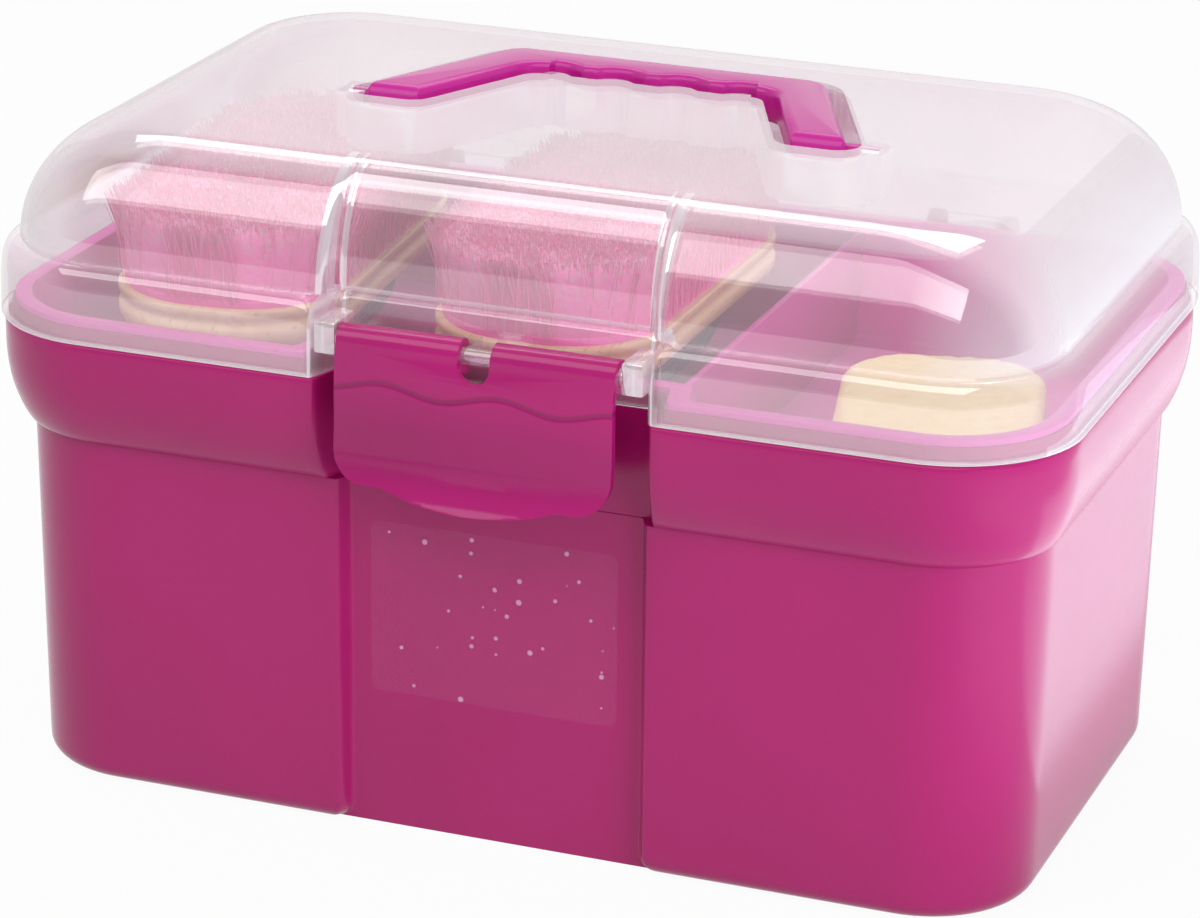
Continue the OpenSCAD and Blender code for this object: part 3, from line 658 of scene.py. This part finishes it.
def handle_plan(grow):
    """The handle's outline seen from above, grown or shrunk: two spread legs and the grip."""
    spread, rise = HANDLE_END - HANDLE_GRIP, HANDLE_BACK - HANDLE_FRONT
    nx, ny = rise / math.hypot(rise, spread), spread / math.hypot(rise, spread)
    reach = nx * HANDLE_END + ny * HANDLE_FRONT
    front = ((0, -1), -HANDLE_FRONT)
    outside = [front, ((nx, ny), reach), ((0, 1), HANDLE_BACK), ((-nx, ny), reach)]
    between = [front, ((nx, -ny), LEG - reach), ((0, -1), GRIP - HANDLE_BACK), ((-nx, -ny), LEG - reach)]
    lines = outside + between
    bends = [TOE_R, BEND_R, BEND_R, TOE_R, TOE_R, -BEND_R, -BEND_R, TOE_R]
    points = []
    for i, (a, r) in enumerate(zip(lines, bends)):
        b = lines[(i + 1) % len(lines)]
        cx, cy = meet((a[0], a[1] - r), (b[0], b[1] - r))
        start = math.atan2(a[0][1], a[0][0])
        turn = (math.atan2(b[0][1], b[0][0]) - start + math.pi) % (2 * math.pi) - math.pi
        turns = [start + turn * k / 8 for k in range(9)]
        points += [(cx + (r + grow) * math.cos(t), cy + (r + grow) * math.sin(t)) for t in turns]
        if i == 5:
            x0 = points[-1][0]
            points += [(x, grip_edge(x, grow)) for x in np.linspace(x0, -x0, 75)[1:-1]]
    return points


def slab(name, plan, z0, z1):
    """A flat body of the given outline between two heights."""
    return moulding(name, [[(x, y, z) for x, y in plan] for z in (z0, z1)])


dome_turns = [0, 4, 9, 15, 21, 28, 35, 42, 49, 56, 61, 66, 70, 73.5, 76.5, 79.5, 82, 84.5, 86.5, 88, 89.2, 90]
flange_inside = (
    (DOME_Z - 1.8, 4.9), (DOME_Z - 2.7, 3.9), (DOME_Z - 3.6, 2.7), (DOME_Z - 5.4, 2.1),
    (DOME_Z - 9.2, LID_T), (LID_Z, LID_T),
)
flange_outside = (
    (LID_Z, 0.6), (LID_Z + 0.15, 0.2), (LID_Z + 0.6, 0), (LID_Z + 9, 0), (LID_Z + 12.6, 0.15),
    (LID_Z + 15.4, 0.5), (LID_Z + 17.4, 1), (LID_Z + 18.8, 1.65), (LID_Z + 19.8, 2.4),
    (LID_Z + 20.5, 3.3), (LID_Z + 20.9, 4.3),
)
lid = moulding("lid_shell", (
    [dome(a, LID_T) for a in reversed(dome_turns)]
    + [rim(z, inset) for z, inset in flange_inside + flange_outside]
    + [dome(a, 0) for a in dome_turns]
))
TRENCH_GAP, TRENCH_DEEP, TRENCH_TOP = 4.2, 13.0, TOP_Z - 0.9
TRENCH_LOW = TOP_Z - TRENCH_DEEP - LID_T
combine(lid, slab("trench_walls", handle_plan(TRENCH_GAP + LID_T), TRENCH_LOW, TRENCH_TOP), "UNION")
for x0, x1 in both_sides(68.5, 78):
    pin_block = block("pin_block", (x0, PIVOT_Y - 5.5, TRENCH_LOW), (x1, PIVOT_Y + 5.5, TRENCH_TOP), 0)
    combine(lid, pin_block, "UNION")
combine(lid, slab("trench", handle_plan(TRENCH_GAP), TOP_Z - TRENCH_DEEP, TOP_Z + 5), "DIFFERENCE")
for x0, x1 in both_sides(61.5, 76.1):
    combine(lid, rod("bore", x0, x1, PIVOT_Y, PIVOT_Z, PIVOT_R + PLAY, 0), "DIFFERENCE")
ROD_Y, ROD_Z, ROD_R, DOME_FRONT, KNUCKLE_R = -90.0, 140.5, 2.25, -79.0, 4.0
for x0, x1 in both_sides(39.2, 45.2):
    bracket = block("bracket", (x0, ROD_Y - 2.7, ROD_Z - 4), (x1, DOME_FRONT, ROD_Z + 4.6), 0.7)
    combine(lid, bracket, "UNION")
combine(lid, rod("clasp_rod", -44, 44, ROD_Y, ROD_Z, ROD_R, 0), "UNION")
tab = block("tab", (-3.4, ROD_Y + 0.4, ROD_Z - 2.1), (3.4, DOME_FRONT, ROD_Z + 2.1), 0)
combine(lid, tab, "UNION")
knuckle = arc(HINGE_Y, HINGE_Z, KNUCKLE_R, -90, 81, 10)
knuckle += [(91, HINGE_Z + 5.5), (91, LID_Z + 0.8)]
knuckle += [(HINGE_Y - 3.4, HINGE_Z - 2.2), (HINGE_Y - 1.6, HINGE_Z - 3.6)]
knuckles, hinge_pins = (both_sides(HINGE_X - half, HINGE_X + half) for half in (8, 12.4))
for (x0, x1), (pin_x0, pin_x1) in zip(knuckles, hinge_pins):
    combine(lid, plate("knuckle", x0, x1, knuckle, 0), "UNION")
    combine(lid, rod("hinge_pin", pin_x0, pin_x1, HINGE_Y, HINGE_Z, HINGE_PIN_R, 0), "UNION")
smooth(lid, 32)


def chain(tree, operation, first, *others):
    """The result of one kind of sum on a row of values."""
    for other in others:
        first = maths(tree, operation, first, other)
    return first


def see_through(tree, shader, share, clear=(1, 1, 1, 1)):
    """Leaves only a share of a finish, with clear material for the rest."""
    open_to = add(tree, "BsdfTransparent", {"Color": clear})
    both = add(tree, "MixShader", {0: share, 1: open_to.outputs["BSDF"], 2: shader.outputs["BSDF"]})
    tree.links.new(both.outputs["Shader"], tree.nodes["Material Output"].inputs["Surface"])


clear, tree, shader, place = new_finish("clear_polypropylene", 0.04)
# The high index makes up for the shine that the clear share takes away.
shader.inputs["IOR"].default_value = 6.0
rubs = noise(tree, place, 90, 5)
tree.links.new(ramp(tree, rubs, (0.4, 0.04), (0.75, 0.055)), shader.inputs["Roughness"])
spot = add(tree, "SeparateXYZ", {"Vector": place}).outputs
across = maths(tree, "ABSOLUTE", spot["X"])
# The dome's milk grows with the slant of the view and towards its rounded ends. The flange's is even.
cloud = remap(tree, noise(tree, place, 14, 4), 0, 1, 0.85, 1.15)
slant = maths(tree, "POWER", add(tree, "LayerWeight", {"Blend": 0.5}).outputs["Facing"], 2.2)
milk = maths(tree, "MULTIPLY", remap(tree, slant, 0, 1, 0.185, 0.78), cloud)
milk = maths(tree, "ADD", milk, remap(tree, across, 0.11, 0.138, 0, 0.33))
flange = remap(tree, spot["Z"], 0.147, 0.152, 0.26, 0.0)
milk = maths(tree, "MULTIPLY_ADD", milk, remap(tree, spot["Z"], 0.147, 0.152), flange)
# Whiter places: the brackets and the trench's walls are thick plastic. The white at the recess's steps
# and the low rim is partly thick plastic seen edge-on and partly painted highlight, and the white band
# along the crease is a painted highlight.
ahead = maths(tree, "LESS_THAN", spot["Y"], -0.062)
# The steps' and the low rim's extra milk is partly thick plastic and partly a painted highlight.
outer_step = maths(tree, "COMPARE", across, 0.0462, 0.0012)
inner_step = maths(tree, "COMPARE", across, 0.0426, 0.0004)
steps = maths(tree, "MULTIPLY", maths(tree, "MAXIMUM", outer_step, inner_step), ahead)
low_rim = remap(tree, spot["Z"], 0.1292, 0.1304, 1.0, 0.0)
edges = maths(tree, "MULTIPLY", maths(tree, "MAXIMUM", steps, low_rim), 0.75)
trench_x = maths(tree, "LESS_THAN", across, 0.079)
trench_y = maths(tree, "COMPARE", spot["Y"], 0.021, 0.034)
trench_z = maths(tree, "LESS_THAN", spot["Z"], 0.1799)
trench = chain(tree, "MULTIPLY", trench_x, trench_y, trench_z)
# Painted light: the milk's pink-grey cast stands for light from the magenta inside that scatters through the
# wall, and the trench's near-white colour lifts the shade in the gap around the handle.
painted_light_tint = ramp(tree, trench, (0.0, (0.69, 0.62, 0.65)), (1.0, (0.98, 0.96, 0.98)))
tree.links.new(painted_light_tint, shader.inputs["Base Color"])
trench = maths(tree, "MULTIPLY", trench, remap(tree, spot["Z"], 0.168, 0.1805, 0.55, 0.85))
# Painted highlight: a band of extra milk along the crease.
crease = chain(tree, "MULTIPLY", maths(tree, "COMPARE", spot["Z"], 0.1788, 0.0026), ahead, 0.4)
bracket_x = maths(tree, "COMPARE", across, 0.0423, 0.0036)
bracket_y = maths(tree, "LESS_THAN", spot["Y"], -0.0802)
bracket_z = maths(tree, "LESS_THAN", spot["Z"], 0.1455)
brackets = chain(tree, "MULTIPLY", bracket_x, bracket_y, bracket_z, 0.62)
milk = chain(tree, "MAXIMUM", milk, edges, trench, crease, brackets)
path = add(tree, "LightPath").outputs
passing = maths(tree, "MAXIMUM", path["Is Shadow Ray"], path["Is Diffuse Ray"])
glow = remap(tree, passing, 0, 1, 1.0, 0.03)
milk = add(tree, "Math", {0: milk, 1: glow}, operation="MULTIPLY", use_clamp=True).outputs["Value"]
see_through(tree, shader, milk, (0.99, 0.975, 0.985, 1))
install(lid, "lid", "lid_clear", clear, "lid")


# Handle: a carry handle moulded in a brighter magenta polypropylene, with soft edges and four finger
# hollows in the grip. It folds flat into the lid's trench and turns on two short pins on its legs.
HANDLE_LOW, HANDLE_TOP, HANDLE_EDGE, HEEL_R = 174.0, 184.0, 2.4, 8.6
HANDLE_MAGENTA = (0.50, 0.009, 0.26)


def handle_level(z, inset):
    """The handle's outline at a height, with the ends of the legs rounded about their pivot."""
    limit = PIVOT_Y - math.sqrt(HEEL_R ** 2 - (z - PIVOT_Z) ** 2) + inset * 0.6
    return [(x, max(y, limit) if y < PIVOT_Y else y, z) for x, y in handle_plan(-inset)]


soft = [(HANDLE_EDGE * (1 - math.sin(a)), HANDLE_EDGE * (1 - math.cos(a))) for a in coarse_turns]
handle = moulding("handle_grip", (
    [handle_level(HANDLE_LOW + rise, inset) for rise, inset in reversed(soft)]
    + [handle_level(HANDLE_LOW + rise, 0) for rise in (3.6, 5.0, 6.4)]
    + [handle_level(HANDLE_TOP - rise, inset) for rise, inset in soft]
))
pins = [rod("pin", x0, x1, PIVOT_Y, PIVOT_Z, PIVOT_R, 0.5) for x0, x1 in both_sides(60, 75.5)]
weld_on(handle, *pins)
smooth(handle, 45)
satin = polypropylene("handle_polypropylene", HANDLE_MAGENTA, 0.22)
install(handle, "handle", "trim_plastic", satin, "handle")


# Clasp: a bowed plate moulded in glossy magenta polypropylene, with a notched, rolled top that snaps
# over the lid's rod, a wavy flow line where the melt met, a rib behind for the tub's catch and a flared
# finger tongue. Its colour is darker along the flow line and over its lower half: painted shade. It is
# a copy of the CAD solid with its edges rounded.
only(frame["nodes"]["clasp"])
bpy.ops.object.duplicate()
clasp = bpy.context.object
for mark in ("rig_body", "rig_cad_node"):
    del clasp[mark]
clasp.name = clasp.data.name = "clasp_plate"
clasp.parent = None
bpy.ops.object.mode_set(mode="EDIT")
bpy.ops.mesh.select_all(action="SELECT")
bpy.ops.mesh.remove_doubles(threshold=0.000002)
bpy.ops.mesh.dissolve_limited(angle_limit=math.radians(1.5))
bpy.ops.object.mode_set(mode="OBJECT")
rounded(clasp, 0.7, 3, 42)
smooth(clasp, 40)
glossy_plate = polypropylene("clasp_polypropylene", (0.41, 0.006, 0.145), 0.12)
tree = glossy_plate.node_tree
shader = tree.nodes["Principled BSDF"]
spot = add(tree, "SeparateXYZ", {"Vector": add(tree, "TexCoord").outputs["Object"]}).outputs
wave = maths(tree, "SINE", maths(tree, "MULTIPLY_ADD", spot["X"], 196.0, 6.47))
crest = maths(tree, "MULTIPLY_ADD", wave, 0.0014, 0.1304)
away = maths(tree, "ABSOLUTE", maths(tree, "SUBTRACT", spot["Z"], crest))
flow_groove_and_shade = remap(tree, away, 0.0002, 0.0011, interpolation_type="SMOOTHSTEP")
height = remap(tree, spot["Z"], 0.103, 0.133)
# Painted shade: the plate is darker over its lower half, where the dark gap behind it shows through, and
# darker along the flow line's groove.
painted_shade_band = ramp(tree, height, (0.05, 1.0), (0.3, 0.8), (0.6, 0.84), (0.95, 1.0))
tone = maths(tree, "MULTIPLY", painted_shade_band, remap(tree, flow_groove_and_shade, 0, 1, 0.7, 1.0))
magenta = shader.inputs["Base Color"].links[0].from_socket
colour = add(tree, "VectorMath", {0: magenta, "Scale": tone}, operation="SCALE")
tree.links.new(colour.outputs["Vector"], shader.inputs["Base Color"])
raised(tree, shader, flow_groove_and_shade, 0.5, 0.0004)
install(clasp, "clasp", "trim_plastic", glossy_plate, "clasp")


# Film: a bare rectangle of clear self-adhesive film with round corners, rubbed onto the tub's front
# under the clasp, with a few small air bubbles left beneath it.
FILM_X, FILM_Z, FILM_W, FILM_H, FILM_R, FILM_T = -0.8, 63.0, 69.5, 48.5, 2.5, 0.12
FILM_LIFT = 0.02
deselect()
upright = (math.pi / 2, 0, 0)
bpy.ops.mesh.primitive_plane_add(size=1, location=(FILM_X * MM, 0, FILM_Z * MM), rotation=upright)
film = bpy.context.object
film.scale = (FILM_W * MM, FILM_H * MM, 1)
settled("clear_film")
bpy.ops.object.mode_set(mode="EDIT")
bpy.ops.mesh.bevel(offset=FILM_R * MM, segments=5, affect="VERTICES")
bpy.ops.mesh.extrude_region_move(TRANSFORM_OT_translate={"value": (0, -FILM_T * MM, 0)})
bpy.ops.object.mode_set(mode="OBJECT")
for vertex in film.data.vertices:
    lean = DRAFT * (1 - vertex.co.z / MM / BAND_Z)
    vertex.co.y += (LOW_RECESS - TUB_Y + lean - FILM_LIFT) * MM
gloss, tree, shader, place = new_finish("clear_film", 0.16)
shader.inputs["Base Color"].default_value = (0.95, 0.5, 0.76, 1)
spot = add(tree, "SeparateXYZ", {"Vector": place}).outputs
flat = add(tree, "CombineXYZ", {"X": spot["X"], "Y": spot["Z"]}).outputs["Vector"]
dots = add(tree, "TexVoronoi", {"Vector": flat, "Scale": 300}, voronoi_dimensions="2D").outputs
luck = add(tree, "SeparateColor", {"Color": dots["Color"]}).outputs
kept = maths(tree, "GREATER_THAN", luck["Red"], 0.87)
near_dot = maths(tree, "LESS_THAN", dots["Distance"], remap(tree, luck["Green"], 0, 1, 0.06, 0.24))
bubbles = maths(tree, "MULTIPLY", kept, near_dot)
raised(tree, shader, bubbles, 0.3, 0.0003)
see_through(tree, shader, remap(tree, bubbles, 0, 1, 0.018, 0.5))
install(film, "tub", "lid_clear", gloss)


# Studio: a white paper floor and white surroundings, one very large soft light over the front, two
# behind, a broad fill at the right front, two small lights low at the right, and a long lens.
deselect()
bpy.ops.mesh.primitive_plane_add(size=12, location=(0, 0, -0.0004))
floor = bpy.context.object
floor.name = "paper_floor"
paper, tree, shader, place = new_finish("white_paper", 0.9)
fibre = noise(tree, place, 300, 3)
tree.links.new(ramp(tree, fibre, (0.3, 0.66), (0.7, 0.70)), shader.inputs["Base Color"])
shader.inputs["Specular IOR Level"].default_value = 0.0
path = add(tree, "LightPath").outputs
seen = chain(tree, "MAXIMUM", path["Is Camera Ray"], path["Is Glossy Ray"], path["Is Transmission Ray"])
white = add(tree, "Emission", {"Color": (1, 1, 1, 1), "Strength": 1.0}).outputs["Emission"]
part = maths(tree, "MULTIPLY", seen, 0.95)
both = add(tree, "MixShader", {0: part, 1: shader.outputs["BSDF"], 2: white})
tree.links.new(both.outputs["Shader"], tree.nodes["Material Output"].inputs["Surface"])
floor.data.materials.append(paper)

world = bpy.data.worlds.new("white_surround")
bpy.context.scene.world = world
world.use_nodes = True
tree = world.node_tree
ground = tree.nodes["Background"]
path = add(tree, "LightPath").outputs
way = add(tree, "SeparateXYZ", {"Vector": add(tree, "TexCoord").outputs["Generated"]}).outputs
behind = remap(tree, way["Y"], -0.5, 0.3, 0.16, 1.0)
left = remap(tree, way["X"], -0.3, -0.9, 0.16, 1.0)
glossy = maths(tree, "MULTIPLY", path["Is Glossy Ray"], maths(tree, "MAXIMUM", behind, left))
level = chain(tree, "MAXIMUM", path["Is Camera Ray"], path["Is Transmission Ray"], glossy, 0.45)
tree.links.new(level, ground.inputs["Strength"])
ground.inputs["Color"].default_value = (1, 1, 1, 1)


def softbox(name, place, target, width, height, power):
    """A rectangular soft light that the camera doesn't see."""
    deselect()
    bpy.ops.object.light_add(type="AREA", location=place)
    lamp = bpy.context.object
    lamp.name = name
    lamp.data.shape, lamp.data.size, lamp.data.size_y, lamp.data.energy = "RECTANGLE", width, height, power
    lamp.rotation_euler = (Vector(target) - Vector(place)).to_track_quat("-Z", "Y").to_euler()
    lamp.visible_camera = False
    return lamp


softbox("front_top", (-0.25, -0.80, 1.27), (-0.25, -0.08, 0.17), 2.0, 0.85, 10.8)
softbox("back_top", (-0.3, 0.55, 1.25), (-0.3, -0.06, 0.18), 1.2, 0.5, 5.0)
softbox("back", (-0.5, 1.35, 0.62), (0, 0, 0.18), 1.9, 0.8, 0.8)
fill = softbox("right_front", (1.4, -0.9, 0.5), (0, 0, 0.08), 0.9, 0.9, 12.5)
fill.data.color = (0.9, 0.86, 1.0)
side = softbox("low_right", (0.25, 0.22, 0.004), (0.25, 0.22, 1), 0.18, 0.44, 0.29)
corner = softbox("low_corner", (0.37, -0.10, 0.004), (0.37, -0.10, 1), 0.26, 0.34, 1.35)
side.data.color = corner.data.color = (0.68, 0.86, 0.92)
fill.visible_glossy = corner.visible_glossy = False

lens = bpy.data.cameras.new("long_lens")
camera = bpy.data.objects.new("camera", lens)
bpy.context.scene.collection.objects.link(camera)
turn, rise, roll, distance, aim = 0.35918, 0.33769, 0.01581, 1.25848, Vector((0, 0, 0.1))
back = Vector((math.sin(turn) * math.cos(rise), -math.cos(turn) * math.cos(rise), math.sin(rise)))
camera.location = aim + back * distance
camera.rotation_mode = "QUATERNION"
camera.rotation_quaternion = back.to_track_quat("Z", "Y") @ Quaternion((0, 0, 1), roll)
lens.sensor_width, lens.lens = 36, 137.68
lens.shift_x, lens.shift_y = -0.0032, -0.0491
lens.clip_start, lens.clip_end = 0.05, 50
bpy.context.scene.camera = camera
bpy.context.scene.view_settings.view_transform = "Standard"
